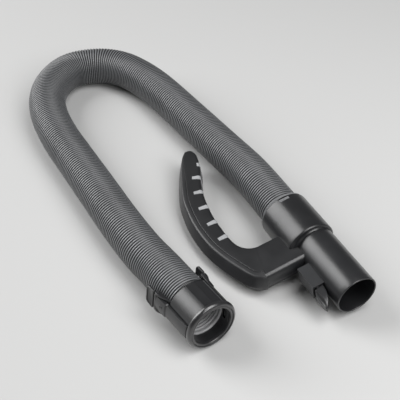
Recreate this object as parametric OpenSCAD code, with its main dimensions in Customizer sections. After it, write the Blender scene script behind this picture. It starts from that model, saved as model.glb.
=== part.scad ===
// Household vacuum cleaner hose. A ribbed flexible hose lies in one open loop on the floor.
// One end carries a cuff with two squeeze latches, the other a wand handle with a hooked grip.
// Lengths are in millimetres. z = 0 is the floor, and the origin is the middle of the
// rectangle of floor that the cuff and the handle cover.

/* [Hose] */
// Outside diameter over the ribs
hose_d = 42; // [35:0.5:51]
// Diameter of the bore
hose_bore_d = 35; // [29:0.5:35.5]
// Depth of the groove between two ribs
rib_depth = 1.4; // [0.8:0.1:1.7]
// Number of ribs
rib_count = 200; // [60:10:200]

/* [Machine cuff] */
// Diameter of the mouth that fits over the machine's port
port_d = 38; // [31:0.5:46]
// Length of the mouth, from the hose's end to the front of the cuff
mouth_len = 12; // [10:0.5:15]
// Length of hose held in the cuff
cuff_grip_len = 25; // [20:1:30]
// Wall of the cuff over the hose
cuff_wall = 2.3; // [2:0.1:3]
// Height of the soft rim above the cuff's wall
rim_height = 1.8; // [1:0.1:3]
// Turn of the cuff about its own axis as it lies
cuff_turn = 8; // [0:1:15]

/* [Latches] */
// Height of the finger tab
tab_h = 20; // [17:0.5:24]
// Length of the finger tab beyond its pin
tab_len = 14; // [12:0.5:17]
// Thickness of the latch
latch_t = 2.2; // [1.8:0.1:2.7]
// Distance from the cuff's end back to the latch pin
pin_back = 13.5; // [11:0.5:16]
// Diameter of the latch pins and the catch pin
pin_d = 2.4; // [2:0.1:2.9]

/* [Handle] */
// Outside diameter of the wand tube
tube_d = 41; // [34:0.5:49.5]
// Wall of the wand tube
tube_wall = 1.5; // [1.2:0.1:2]
// Length of the wand tube from its mouth to the sleeve
tube_len = 71; // [59:1:86]
// Length of the sleeve that takes the hose
sleeve_len = 49; // [41:1:59]
// Wall of the sleeve
sleeve_wall = 2.1; // [1.7:0.1:2.6]
// Length of hose held in the sleeve
sleeve_grip_len = 24; // [20:1:29]
// Thickness of the arm and the grip
grip_t = 21; // [17.5:0.5:25.5]
// How far the grip's rounded spine stands out at its middle
spine_bulge = 5; // [4:0.5:6]
// Spacing of the finger bars nearest the arm
bar_pitch = 22; // [18.5:0.5:22.5]

/* [Wand catch] */
// Length of the catch's housing
housing_len = 26; // [24:0.5:31]
// Height of the housing above the wand tube
housing_h = 10.5; // [9.5:0.5:12.5]
// Width of the housing along the grip's thickness
housing_w = 16; // [14:0.5:19]

/* [Hidden] */
$fn = 64;
// Clearances
slip = 0.2; // hose in its collar and in the cuff
fit = 0.1; // collar in the sleeve, tube in the sleeve
run = 0.05; // a turning bore over its pin
still = 0.02; // a fixed bore over its pin
swing = 0.3; // between a moving piece and its neighbour

// Hose
hose_r = hose_d / 2;
bore_r = hose_bore_d / 2;
hose_sides = 8;
bore_ring_gap = 16; // spacing of the bore's rings along the hose

// Cuff, measured along x from the end where the hose goes in
port_r = port_d / 2;
cuff_r = max(hose_r + slip, port_r) + cuff_wall;
cuff_len = cuff_grip_len + mouth_len;
rim_w = 4; // width of the soft rim's band
rim_lip = 1.5; // thickness of the rim's face on the mouth
rim_r = cuff_r + rim_height;
body_len = cuff_len - rim_lip;
facet = 12; // half angle of each of the cuff's flats
neck = 0.6; // step down at the cuff's hose end
neck_len = 1.6;
pin_r = pin_d / 2;
pin_y = cuff_r + 1.3; // latch pin beside the cuff
barrel_r = pin_r + 1.6;
lug_z = tab_h / 2 - 2; // inner face of a lug
lug_t = 2.2;
lug_r = pin_r + 1.2; // outer radius of a lug round the pin
hook_w = 2.5;
hook_h = 10;
window_gap = 1; // room round the hook in its window
hook_x = body_len - 8;
latch_end = cuff_len - rim_w - 0.6;

// Wire springs
wire_r = 0.4;
coil_r = pin_r + 0.75; // mean radius of a latch spring's coil
coil_pitch = 1.3;
coil_turns = 4;
leg_y = cuff_r - 1.5; // fixed leg of a latch spring, in the cuff's wall
catch_coil_r = 2; // mean radius of the catch spring's coil
catch_coil_turns = 2;
catch_wire_r = 0.3;

// Handle, measured along x from the wand tube's mouth
tube_r = tube_d / 2;
tube_bore_r = tube_r - tube_wall;
collar_wall = 1.9;
collar_r = hose_r + slip + collar_wall;
sleeve_bore_r = max(collar_r, tube_r) + fit;
sleeve_r = sleeve_bore_r + sleeve_wall;
sleeve_y = sleeve_bore_r - tube_r - fit; // the sleeve's axis is off the tube's
lip_x = tube_len;
sleeve_end = lip_x + sleeve_len;
seat_x = sleeve_end - sleeve_grip_len;
seat_lip = 2; // the collar's lip that the hose stops at
seal_t = 4;
tube_end = seat_x - seat_lip - seal_t;
sleeve_nose = 7; // length of the sleeve's end wall round the tube
nose_round = 2;
win_w = 11; // snap window in the sleeve
win_l = 4;
win_x = sleeve_end - 5;
grip_z = grip_t / 2;
skin = 2.5; // wall of the arm and the grip
strip = 4.5; // width of the spine on the grip's face
split_z = -4; // seam between the handle and its underside
bar_w = 4;
bar_l = 10.5;
bar_h = 0.9;
bar_count = 6;
screws = [[5, 50], [66, 74.5], [105, 69]]; // x from the sleeve's lip, y from the tube's axis
screw_r = 1.5;
head_r = 2.9;
head_h = 1.9;
boss_r = 3.4;

// The arm's edges and the grip's edges, x from the sleeve's lip and y from the tube's axis
ridge = [
    [-11, 61], [-10.2, 65], [-6.5, 69.6], [-1, 72.5], [7, 75.4], [17, 78.6], [30, 82.5], [47, 85.8],
    [66, 86.8], [83, 86.3], [100, 83.6], [116, 79.8], [135, 72], [154, 62.8], [169, 54], [176, 47.5]
];
inner_edge = [
    [176, 47.5], [176.6, 42.5], [172, 39.2], [165, 39], [149, 43.5], [136, 49.8], [122.5, 55.6],
    [108.5, 59.8], [94, 62.8], [79, 64.8], [64, 65.4], [47, 65.2], [37, 63.8], [30, 60.8],
    [25, 55.8], [22.5, 50], [22, 43], [22, 10]
];
root_y = 10; // the arm's root lies inside the sleeve's and the tube's walls

// Wand catch
catch_gap = 0.5;
housing_x = 24;
housing_y = tube_r + housing_h;
housing_wall = 1.8;
catch_pin_x = housing_x + 10;
catch_pin_y = tube_r + 5.5;
pin_cover = 0.8; // wall left over the catch pin's blind end
catch_t = 3;
catch_coil_h = catch_pin_y - catch_t / 2 - tube_r - 1; // from the housing's floor to the lever
toe_x = 1.5;
catch_w = housing_w - 2 * housing_wall - 0.6;

// The hose's route: x and y of its middle line, and how far it lies above the floor's contact.
// The first two and the last two steps are straight, and set the way the two ends point.
handle_height = sleeve_r; // the sleeve rests on the floor
handle_turn = 10; // the handle rolls over until its grip meets the floor
route_start = [[43, 8.5], [20, 53], [8.5, 75.25]];
route_middle = [
    [-3.5, 98, 2.9], [-24.5, 131, 1.4], [-45.5, 163.5, 0.5], [-66.5, 195, 0.1], [-88, 227, 0],
    [-105, 250, 0], [-123, 269.5, 0], [-142.5, 285, 0], [-164, 292.5, 0], [-186, 291.5, 0],
    [-205, 283.5, 0], [-218.5, 267, 0], [-226, 244, 0], [-226.5, 221, 0], [-222, 199, 0],
    [-214, 177, 0], [-201, 149.5, 0], [-187, 124.5, 0], [-172, 98, 0], [-155, 68, 0],
    [-137.5, 36.5, 0], [-120.5, 7.5, 0], [-104, -18.5, 0]
];
route_end = [[-89, -38.5], [-75, -59], [-47, -100]];
run_lift = 0.4; // where the last straight stretch starts to rise to the cuff
run_len = norm(route_end[2] - route_end[0]);
cuff_slope = (rim_r + 0.1 - hose_r - run_lift) / (run_len + mouth_len);
centre = [-3, -1.2]; // brings the origin to the middle of the floor that the rigid pieces cover
above = 0.05; // room between the hose's ribs and the floor
route = concat(
    [for (p = route_start) concat([p[0], p[1]] + centre, handle_height)],
    [for (p = route_middle) concat([p[0], p[1]] + centre, hose_r + above + p[2])],
    [for (p = route_end)
        concat(p + centre, hose_r + run_lift + cuff_slope * norm(p - route_end[0]))]
);
handle_way = route[0] - route[1];
cuff_way = route[len(route) - 1] - route[len(route) - 2];

// ---- curves ----

function unit(v) = v / norm(v);

// Smooth curve through four neighbouring points, between the second and the third
function blend(a, b, c, d, t) =
    0.5 * (2 * b + (c - a) * t + (2 * a - 5 * b + 4 * c - d) * t * t
        + (3 * b - a - 3 * c + d) * t * t * t);

// Smooth curve through all the points, with n steps between two of them
function smooth(p, n) =
    let (q = concat([2 * p[0] - p[1]], p, [2 * p[len(p) - 1] - p[len(p) - 2]]))
    concat(
        [for (i = [1 : len(p) - 1]) for (k = [0 : n - 1])
            blend(q[i - 1], q[i], q[i + 1], q[i + 2], k / n)],
        [p[len(p) - 1]]
    );

function tangent(p, i) = unit(p[min(i + 1, len(p) - 1)] - p[max(i - 1, 0)]);

// Distance along the points up to each one
function lengths(p) = [for (i = 0, s = 0; i < len(p);
    i = i + 1, s = i < len(p) ? s + norm(p[i] - p[i - 1]) : s) s];

// One ring of a tube: round c, square to t, with its first corner away from up
function ring(c, t, up, r, sides) =
    let (a = unit(cross(up, t)), b = cross(t, a))
    [for (k = [0 : sides - 1])
        c + r * (sin(360 * k / sides) * a - cos(360 * k / sides) * b)];

// Triangles between rings first..first + count - 1, facing out or, with flip, in
function skin_faces(first, count, n, flip) =
    [for (i = [first : first + count - 2]) for (k = [0 : n - 1]) for (half = [0, 1])
        let (
            a = i * n + k,
            b = i * n + (k + 1) % n,
            f = half == 0 ? [b + n, b, a] : [a + n, b + n, a]
        )
        flip ? [f[2], f[1], f[0]] : f];

// A round wire along points that lie round the direction up
module wire(p, r, sides, up) {
    n = len(p);
    points = [for (i = [0 : n - 1]) each ring(p[i], tangent(p, i), up, r, sides)];
    last = (n - 1) * sides;
    faces = concat(
        skin_faces(0, n, sides, false),
        [for (k = [1 : sides - 2]) [0, k, k + 1]],
        [for (k = [1 : sides - 2]) [last, last + k + 1, last + k]]
    );
    polyhedron(points, faces);
}

// ---- hose ----

route_fine = smooth(route, 10);
route_at = lengths(route_fine);
hose_len = route_at[len(route_at) - 1];
route_xs = [for (i = [0 : len(route_fine) - 1]) [route_at[i], route_fine[i][0]]];
route_ys = [for (i = [0 : len(route_fine) - 1]) [route_at[i], route_fine[i][1]]];
route_zs = [for (i = [0 : len(route_fine) - 1]) [route_at[i], route_fine[i][2]]];

function along(s) = [lookup(s, route_xs), lookup(s, route_ys), lookup(s, route_zs)];

function way(s) =
    s < 4 ? unit(route[1] - route[0]) :
    s > hose_len - 4 ? unit(cuff_way) :
    unit(along(s + 4) - along(s - 4));

function hose_ring(s, r) = ring(along(s), way(s), [0, 0, 1], r, hose_sides);

// Least radius of the middle line's bends, and least distance between two stretches of the hose
bend_step = 12;
bend_least = min([for (s = [bend_step : bend_step : hose_len - bend_step])
    let (c = acos(min(1, way(s - bend_step / 2) * way(s + bend_step / 2))))
    c < 0.1 ? 1e6 : bend_step / (c * PI / 180)]);
gap_least = min([for (s = [0 : 10 : hose_len]) for (u = [s + 150 : 10 : hose_len])
    norm(along(s) - along(u)) - hose_d]);
echo(hose_len = hose_len, bend_least = bend_least, gap_least = gap_least);
echo(
    latch_spring_gap = coil_pitch - 2 * wire_r,
    catch_spring_gap = (catch_coil_h - 2 * catch_wire_r) / catch_coil_turns - 2 * catch_wire_r
);

module hose() {
    ribs = 2 * rib_count + 1;
    bores = ceil(hose_len / bore_ring_gap) + 1;
    outer = [for (i = [0 : ribs - 1])
        each hose_ring(hose_len * i / (ribs - 1), i % 2 == 0 ? hose_r : hose_r - rib_depth)];
    inner = [for (i = [0 : bores - 1]) each hose_ring(hose_len * i / (bores - 1), bore_r)];
    a = (ribs - 1) * hose_sides;
    b = ribs * hose_sides;
    c = b + (bores - 1) * hose_sides;
    faces = concat(
        skin_faces(0, ribs, hose_sides, false),
        skin_faces(ribs, bores, hose_sides, true),
        [for (k = [0 : hose_sides - 1]) let (m = (k + 1) % hose_sides) each [
            [m, b + m, k], [b + m, b + k, k],
            [c + m, a + m, a + k], [c + k, c + m, a + k]
        ]]
    );
    color([0.16, 0.16, 0.17]) polyhedron(concat(outer, inner), faces);
}

// ---- placing ----

// Stands a shape that is made along z along x instead
module along_x() {
    rotate([0, 90, 0]) children();
}

// The cuff's frame: x runs from the cuff's hose end towards its mouth, y across, z up
module on_cuff() {
    translate(route[len(route) - 1])
    rotate([0, -atan(cuff_slope), atan2(cuff_way[1], cuff_way[0])])
    rotate([-cuff_turn, 0, 0])
    translate([-cuff_grip_len, 0, 0])
    children();
}

// The handle's frame: x runs from the wand tube's mouth towards the hose, y towards the grip
module on_handle() {
    translate(route[0])
    rotate([0, 0, atan2(-handle_way[1], -handle_way[0])])
    rotate([-handle_turn, 0, 0])
    translate([-seat_x, -sleeve_y, 0])
    children();
}

// ---- machine cuff ----

// Ear that holds one end of a latch pin
module lug() {
    translate([-pin_back, pin_y, 0]) cylinder(r = lug_r, h = lug_t);
    linear_extrude(lug_t) polygon([
        [-pin_back, pin_y + lug_r - 0.1], [-pin_back + 4, pin_y + 1], [3, cuff_r - 2],
        [3, cuff_r - 5], [-2, cuff_r - 5], [-pin_back, pin_y - lug_r + 0.1]
    ]);
}

module cuff_body() {
    color([0.2, 0.2, 0.21]) on_cuff() difference() {
        union() {
            along_x() cylinder(r = cuff_r - neck, h = body_len);
            difference() {
                translate([neck_len, 0, 0]) along_x() cylinder(r = cuff_r, h = body_len - neck_len);
                for (turn = [-facet, facet, 180 - facet, 180 + facet])
                    rotate([turn, 0, 0])
                        translate([-1, -cuff_r, cuff_r * cos(facet)])
                            cube([body_len + 2, 2 * cuff_r, cuff_r]);
            }
            for (side = [0, 1], top = [0, 1])
                mirror([0, side, 0]) mirror([0, 0, top]) translate([0, 0, lug_z]) lug();
        }
        translate([-1, 0, 0]) along_x() cylinder(r = hose_r + slip, h = cuff_grip_len + 1);
        translate([-20, 0, 0]) along_x() cylinder(r = hose_r + 1, h = 20);
        along_x() cylinder(r = port_r, h = cuff_len);
        for (side = [0, 1]) mirror([0, side, 0]) {
            // window for the hook
            translate([hook_x - window_gap, 10, -hook_h / 2 - window_gap])
                cube([hook_w + 2 * window_gap, 20, hook_h + 2 * window_gap]);
            // bores for the pin
            translate([-pin_back, pin_y, -30]) cylinder(r = pin_r + still, h = 60);
            // hole for the spring's fixed leg
            translate([-1, leg_y, -coil_turns * coil_pitch / 2])
                along_x() cylinder(r = wire_r + 0.05, h = 5);
        }
    }
}

// Soft rim: a rounded band round the cuff's end with a face that slopes into the mouth
module mouth_rim() {
    corner = 1.6;
    profile = concat(
        [[port_r + 0.3, body_len], [cuff_r + run, body_len], [cuff_r + run, cuff_len - rim_w],
            [rim_r - 0.8, cuff_len - rim_w]],
        [for (a = [0 : 15 : 90])
            [rim_r - corner + corner * cos(a), cuff_len - corner + corner * sin(a)]],
        [[port_r + 0.3, cuff_len - 0.6]]
    );
    color([0.13, 0.13, 0.14]) on_cuff() along_x() rotate_extrude() polygon(profile);
}

// A latch: finger tab, barrel on its pin, and an arm wrapped round the cuff with a hook at its end
module latch_shape() {
    inner_r = cuff_r + swing;
    outer_r = inner_r + latch_t;
    arm_z = lug_z - swing; // stays between the lugs
    difference() {
        union() {
            // arm
            intersection() {
                translate([-pin_back, 0, 0]) along_x() difference() {
                    cylinder(r = outer_r, h = latch_end + pin_back);
                    translate([0, 0, -1]) cylinder(r = inner_r, h = latch_end + pin_back + 2);
                }
                translate([-pin_back, 0, -arm_z]) cube([latch_end + pin_back, 2 * cuff_r, 2 * arm_z]);
            }
            // hook
            translate([hook_x, port_r + 0.3, -hook_h / 2])
                cube([hook_w, inner_r - port_r + 0.5, hook_h]);
            // barrel
            translate([-pin_back, pin_y, -arm_z])
                cylinder(r = barrel_r, h = 2 * arm_z);
            // shoulder over the barrel
            intersection() {
                translate([-pin_back + 5.5, pin_y - 0.5, -arm_z]) cylinder(r = 4.3, h = 2 * arm_z);
                translate([-pin_back - 2, pin_y - 1.5, -arm_z]) cube([16, 10, 2 * arm_z]);
            }
            // finger tab with rounded corners, and a neck between the lugs
            translate([0, pin_y + latch_t + 0.4, 0]) rotate([90, 0, 0]) {
                corner = 4;
                linear_extrude(latch_t) {
                    translate([-pin_back - tab_len + corner, -arm_z])
                        square([tab_len - corner, 2 * arm_z]);
                    translate([-pin_back - tab_len + corner, -tab_h / 2])
                        square([tab_len - corner - lug_r - swing, tab_h]);
                    translate([-pin_back - tab_len, -tab_h / 2 + corner])
                        square([tab_len - lug_r - swing, tab_h - 2 * corner]);
                    for (s = [-1, 1])
                        translate([-pin_back - tab_len + corner, s * (tab_h / 2 - corner)])
                            circle(r = corner);
                }
            }
        }
        translate([-pin_back, pin_y, -30]) cylinder(r = pin_r + run, h = 60);
        // room for the spring's coil and its fixed leg
        coil_room = coil_turns * coil_pitch / 2 + 1.2;
        translate([-pin_back, pin_y, -coil_room])
            cylinder(r = coil_r + wire_r + 0.25, h = 2 * coil_room);
        translate([-pin_back - 4, pin_y - barrel_r - 1, -coil_room])
            cube([pin_back + 7, 3, 2 * coil_room]);
    }
}

module latch_left() {
    color([0.17, 0.17, 0.18]) on_cuff() mirror([0, 1, 0]) latch_shape();
}

module latch_right() {
    color([0.17, 0.17, 0.18]) on_cuff() latch_shape();
}

module latch_pin_shape() {
    pin_len = 2 * (lug_z + lug_t + 0.3);
    translate([-pin_back, pin_y, -pin_len / 2]) cylinder(r = pin_r, h = pin_len);
}

module latch_pin_left() {
    color([0.6, 0.6, 0.62]) on_cuff() mirror([0, 1, 0]) latch_pin_shape();
}

module latch_pin_right() {
    color([0.6, 0.6, 0.62]) on_cuff() latch_pin_shape();
}

// Torsion spring round the latch pin: one leg in the cuff's end, the other under the finger tab
module latch_spring_shape() {
    steps = 8;
    half = coil_turns * coil_pitch / 2;
    turns = [for (k = [0 : coil_turns * steps])
        let (a = -90 - 360 * k / steps)
        [-pin_back + coil_r * cos(a), pin_y + coil_r * sin(a), -half + coil_pitch * k / steps]];
    path = concat(
        [[2.6, leg_y, -half], [-1, leg_y, -half], [-pin_back + 6, pin_y - coil_r - 0.1, -half]],
        turns,
        [[-pin_back - 4, pin_y - coil_r + 0.2, half],
            [-pin_back - tab_len + 7, pin_y + 0.3 - wire_r, half]]
    );
    wire(path, wire_r, 6, [0, 0, 1]);
}

module latch_spring_left() {
    color([0.7, 0.7, 0.72]) on_cuff() mirror([0, 1, 0]) latch_spring_shape();
}

module latch_spring_right() {
    color([0.7, 0.7, 0.72]) on_cuff() latch_spring_shape();
}

// ---- handle end of the hose ----

// Collar on the hose's end, with a lip that the hose stops at, a flange and two snap tabs
module hose_collar() {
    flange_r = sleeve_r - 0.9;
    color([0.15, 0.15, 0.16]) on_handle() translate([0, sleeve_y, 0]) difference() {
        union() {
            translate([seat_x - seat_lip, 0, 0]) along_x()
                cylinder(r = collar_r, h = sleeve_grip_len + seat_lip);
            translate([sleeve_end, 0, 0]) along_x() cylinder(r = flange_r, h = 1.4);
            for (s = [-1, 1])
                translate([win_x + 0.2, -win_w / 2 + 0.2, s > 0 ? collar_r - 1 : 1.2 - sleeve_r])
                    cube([1.8, win_w - 0.4, sleeve_r - collar_r - 0.2]);
        }
        translate([seat_x, 0, 0]) along_x() cylinder(r = hose_r + slip, h = sleeve_grip_len + 5);
        translate([seat_x - seat_lip - 1, 0, 0]) along_x() cylinder(r = bore_r + 0.1, h = 5);
    }
}

// Soft ring squeezed between the collar and the wand tube's inner end
module collar_seal() {
    color([0.1, 0.1, 0.1]) on_handle() translate([tube_end, sleeve_y, 0]) along_x() difference() {
        cylinder(r = sleeve_bore_r - fit, h = seal_t);
        translate([0, 0, -1]) cylinder(r = bore_r + 0.1, h = seal_t + 2);
    }
}

module wand_tube() {
    chamfer = 0.5;
    color([0.22, 0.22, 0.23]) on_handle() along_x() difference() {
        cylinder(r = tube_r, h = tube_end);
        translate([0, 0, -1]) cylinder(r = tube_bore_r, h = tube_end + 2);
        translate([0, 0, -0.01])
            cylinder(r1 = tube_bore_r + chamfer, r2 = tube_bore_r, h = chamfer);
    }
}

// ---- arm and grip ----

ridge_fine = smooth([for (p = ridge) p + [lip_x, 0]], 3);
inner_fine = smooth([for (p = inner_edge) p + [lip_x, 0]], 3);

// Width of the spine's strip on the grip's face, which narrows to nothing at the tip
function strip_at(x) = strip * min(1, (lip_x + ridge[len(ridge) - 1][0] + 4 - x) / 45);

// Moves a curve to its right by d, which is inwards on the ridge and on the inner edge
function inside(p, d) = [for (i = [0 : len(p) - 1])
    let (t = tangent(p, i)) p[i] + d * [t[1], -t[0]]];

// Moves the ridge inwards by its strip and d more
function inside_strip(d) = [for (i = [0 : len(ridge_fine) - 1])
    let (t = tangent(ridge_fine, i))
    ridge_fine[i] + (strip_at(ridge_fine[i][0]) + d) * [t[1], -t[0]]];

function between(p, low, high) = [for (q = p) if (q[0] > low && q[0] < high) q];

front_x = lip_x + ridge[0][0];
hollow_end = lip_x + 140;
hollow_root = sleeve_r + sleeve_y + 3;
body_outline = concat(
    [[front_x, root_y], [front_x, ridge[0][1]]],
    inside_strip(0),
    inner_fine
);
hollow_outline = concat(
    [[front_x + skin, hollow_root], [front_x + skin, ridge[0][1] - 2]],
    between(inside_strip(skin), front_x + skin + 9, hollow_end),
    [for (q = between(inside(inner_fine, skin), lip_x, hollow_end))
        if (q[1] > hollow_root + 8) q],
    [[lip_x + inner_edge[16][0] - skin, hollow_root]]
);
whole_outline = concat(
    [[front_x - 1, root_y], [front_x - 1, ridge[0][1]]],
    inside(ridge_fine, -1),
    inner_fine
);

// Half-round edge along the arm's front, between two heights
module front_edge(low, high) {
    steps = 6;
    first = asin(low / grip_z);
    last = asin(high / grip_z);
    edge = concat(
        [[front_x + 1, low + 0.5], [front_x + 1, high - 0.5]],
        [for (k = [0 : steps]) let (a = last + (first - last) * k / steps)
            [front_x - spine_bulge * cos(a), grip_z * sin(a)]],
        first > -90 ? [[front_x, low]] : []
    );
    points = last == 90 ? edge : concat(
        [edge[0], edge[1], [front_x, high]],
        [for (k = [2 : len(edge) - 1]) edge[k]]
    );
    translate([0, ridge[0][1], 0]) rotate([90, 0, 0])
        linear_extrude(ridge[0][1] - root_y) polygon(points);
}

module at_screws() {
    for (p = screws) translate([lip_x + p[0], p[1], 0]) children();
}

// Sleeve with a rounded nose round the wand tube
module sleeve() {
    profile = concat(
        [[0, lip_x], [sleeve_r - nose_round, lip_x]],
        [for (a = [-75 : 15 : 0])
            [sleeve_r - nose_round + nose_round * cos(a), lip_x + nose_round + nose_round * sin(a)]],
        [[sleeve_r, sleeve_end], [0, sleeve_end]]
    );
    translate([0, sleeve_y, 0]) along_x() rotate_extrude() polygon(profile);
}

module handle_body() {
    top = grip_z - skin;
    color([0.2, 0.2, 0.21]) on_handle() difference() {
        union() {
            sleeve();
            difference() {
                union() {
                    translate([0, 0, split_z])
                        linear_extrude(grip_z - split_z) polygon(body_outline);
                    front_edge(split_z, grip_z);
                }
                translate([0, 0, split_z - 1]) linear_extrude(top - split_z + 1)
                    polygon(hollow_outline);
            }
            at_screws() translate([0, 0, split_z])
                cylinder(r = boss_r, h = top - split_z + 0.01);
        }
        translate([lip_x + sleeve_nose, sleeve_y, 0]) along_x()
            cylinder(r = sleeve_bore_r, h = sleeve_len);
        along_x() cylinder(r = tube_r + run, h = lip_x + sleeve_nose + 1);
        translate([win_x, sleeve_y - win_w / 2, -40]) cube([win_l, win_w, 80]);
        at_screws() translate([0, 0, split_z - 1]) cylinder(r = screw_r + run, h = top - split_z - 1);
    }
}

module grip_underside() {
    floor_z = skin - grip_z;
    color([0.19, 0.19, 0.2]) on_handle() difference() {
        union() {
            difference() {
                union() {
                    translate([0, 0, -grip_z]) linear_extrude(grip_z + split_z) polygon(body_outline);
                    front_edge(-grip_z, split_z);
                }
                translate([0, 0, floor_z]) linear_extrude(grip_z) polygon(hollow_outline);
            }
            at_screws() translate([0, 0, 1 - grip_z])
                cylinder(r = boss_r + 0.6, h = grip_z + split_z - 1);
        }
        along_x() cylinder(r = tube_r + run, h = sleeve_end);
        translate([lip_x - 0.01, sleeve_y, 0]) along_x() cylinder(r = sleeve_r + run, h = sleeve_len);
        at_screws() {
            translate([0, 0, -grip_z - 1]) cylinder(r = screw_r + 0.2, h = grip_z);
            translate([0, 0, -grip_z - 1]) cylinder(r = head_r + 0.15, h = head_h + 1.2);
        }
    }
}

// Rounded strip round the outside of the grip, from the arm's corner to the tip
module grip_spine() {
    n = len(ridge_fine);
    arc = [for (a = [90 : -15 : -90]) [cos(a), sin(a)]];
    section = concat([[-1, 1]], arc, [[-1, -1]]);
    m = len(section);
    points = [for (i = [0 : n - 1])
        let (
            t = tangent(ridge_fine, i),
            out = [-t[1], t[0]],
            // the bulge dies away over the last third, towards the tip
            bulge = spine_bulge * (1 - 0.5 * pow(max(0, (i / (n - 1) - 0.66) / 0.34), 2))
        )
        each [for (q = section)
            let (
                d = q[0] < 0 ? -strip_at(ridge_fine[i][0]) : bulge * q[0],
                p = ridge_fine[i] + d * out
            )
            [p[0], p[1], grip_z * q[1]]]];
    last = (n - 1) * m;
    faces = concat(
        skin_faces(0, n, m, true),
        [for (k = [1 : m - 2]) [0, k + 1, k]],
        [for (k = [1 : m - 2]) [last, last + k, last + k + 1]]
    );
    color([0.14, 0.14, 0.15]) on_handle() polyhedron(points, faces);
}

inner_ys = [for (i = [len(inner_fine) - 1 : -1 : 0])
    if (inner_fine[i][1] > 38 && inner_fine[i][0] > lip_x + 36 && inner_fine[i][0] < lip_x + 166)
        [inner_fine[i][0], inner_fine[i][1]]];

// Raised bars under the fingers, wrapped round the grip's inner edge
module finger_bars() {
    color([0.45, 0.45, 0.47]) on_handle() difference() {
        for (k = [0 : bar_count - 1]) {
            x = lip_x + 50 + bar_pitch * (k - 0.045 * pow(max(0, k - 2), 2)); // closer at the tip
            lean = atan2(lookup(x + 2, inner_ys) - lookup(x - 2, inner_ys), 4);
            translate([x, lookup(x, inner_ys), 0]) rotate([0, 0, lean])
                translate([-bar_w / 2, -bar_h, -grip_z - bar_h])
                    cube([bar_w, bar_l + bar_h, grip_t + 2 * bar_h]);
        }
        translate([0, 0, -grip_z]) linear_extrude(grip_t) polygon(whole_outline);
    }
}

module grip_screws() {
    color([0.65, 0.65, 0.67]) on_handle() at_screws() difference() {
        union() {
            translate([0, 0, -grip_z + 0.2]) cylinder(r = head_r, h = head_h - 0.02);
            translate([0, 0, -grip_z + 1]) cylinder(r = screw_r, h = grip_t - skin - 4);
        }
        // cross recess
        for (turn = [0, 90]) rotate([0, 0, turn])
            translate([-1.6, -0.35, -grip_z - 1]) cube([3.2, 0.7, 2.2]);
    }
}

// ---- wand catch ----

module catch_housing() {
    color([0.2, 0.2, 0.21]) on_handle() difference() {
        translate([housing_x, 0, -housing_w / 2]) cube([housing_len, housing_y, housing_w]);
        translate([-1, 0, 0]) along_x() cylinder(r = tube_r + run, h = tube_len);
        translate([-1, -50, -50]) cube([200, 50 + tube_r * 0.8, 100]);
        translate([housing_x - 1, tube_r + 1, housing_wall - housing_w / 2])
            cube([housing_len - housing_wall, housing_h - 1 - housing_wall, housing_w - 2 * housing_wall]);
        // bore for the pin, open below and blind above
        translate([catch_pin_x, catch_pin_y, -50])
            cylinder(r = pin_r + still, h = 50 + housing_w / 2 - pin_cover + still);
    }
}

// Lever with a pointed toe that hooks over the collar of the wand whose end is pushed into the tube
module wand_catch() {
    back = housing_x + housing_len - housing_wall - 3;
    toe_w = housing_w - 2;
    low = catch_pin_y - catch_t / 2;
    color([0.24, 0.24, 0.25]) on_handle() difference() {
        union() {
            translate([housing_x - 2, low, -catch_w / 2]) cube([back - housing_x + 2, catch_t, catch_w]);
            translate([catch_pin_x, catch_pin_y, -catch_w / 2]) cylinder(r = 2.9, h = catch_w);
            translate([0, 0, -toe_w / 2]) linear_extrude(toe_w) polygon([
                [housing_x - catch_gap, tube_r + 0.6], [housing_x - 8, tube_r + 1.4],
                [housing_x - 15, tube_r + 4], [toe_x, tube_r + 9.5], [toe_x + 2.5, tube_r + 11],
                [housing_x - 12, tube_r + 11.6], [housing_x - 4, tube_r + 10.8],
                [housing_x - catch_gap - 1.6, tube_r + 9.6]
            ]);
        }
        translate([catch_pin_x, catch_pin_y, -50]) cylinder(r = pin_r + run, h = 100);
    }
}

module catch_pin() {
    color([0.6, 0.6, 0.62]) on_handle()
        translate([catch_pin_x, catch_pin_y, -housing_w / 2])
            cylinder(r = pin_r, h = housing_w - pin_cover);
}

// Coil spring between the housing's floor and the catch's tail
module catch_spring() {
    steps = 8;
    wire_low = tube_r + 1 + catch_wire_r;
    rise = (catch_coil_h - 0.05 - 2 * catch_wire_r) / (catch_coil_turns * steps);
    path = [for (k = [0 : catch_coil_turns * steps])
        let (a = 360 * k / steps)
        [catch_pin_x + 7.5 + catch_coil_r * cos(a), wire_low + rise * k, catch_coil_r * sin(a)]];
    color([0.7, 0.7, 0.72]) on_handle() wire(path, catch_wire_r, 6, [0, 1, 0]);
}

hose();
cuff_body();
mouth_rim();
latch_left();
latch_right();
latch_pin_left();
latch_pin_right();
latch_spring_left();
latch_spring_right();
hose_collar();
collar_seal();
handle_body();
wand_tube();
grip_underside();
grip_spine();
finger_bars();
grip_screws();
catch_housing();
wand_catch();
catch_pin();
catch_spring();
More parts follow.
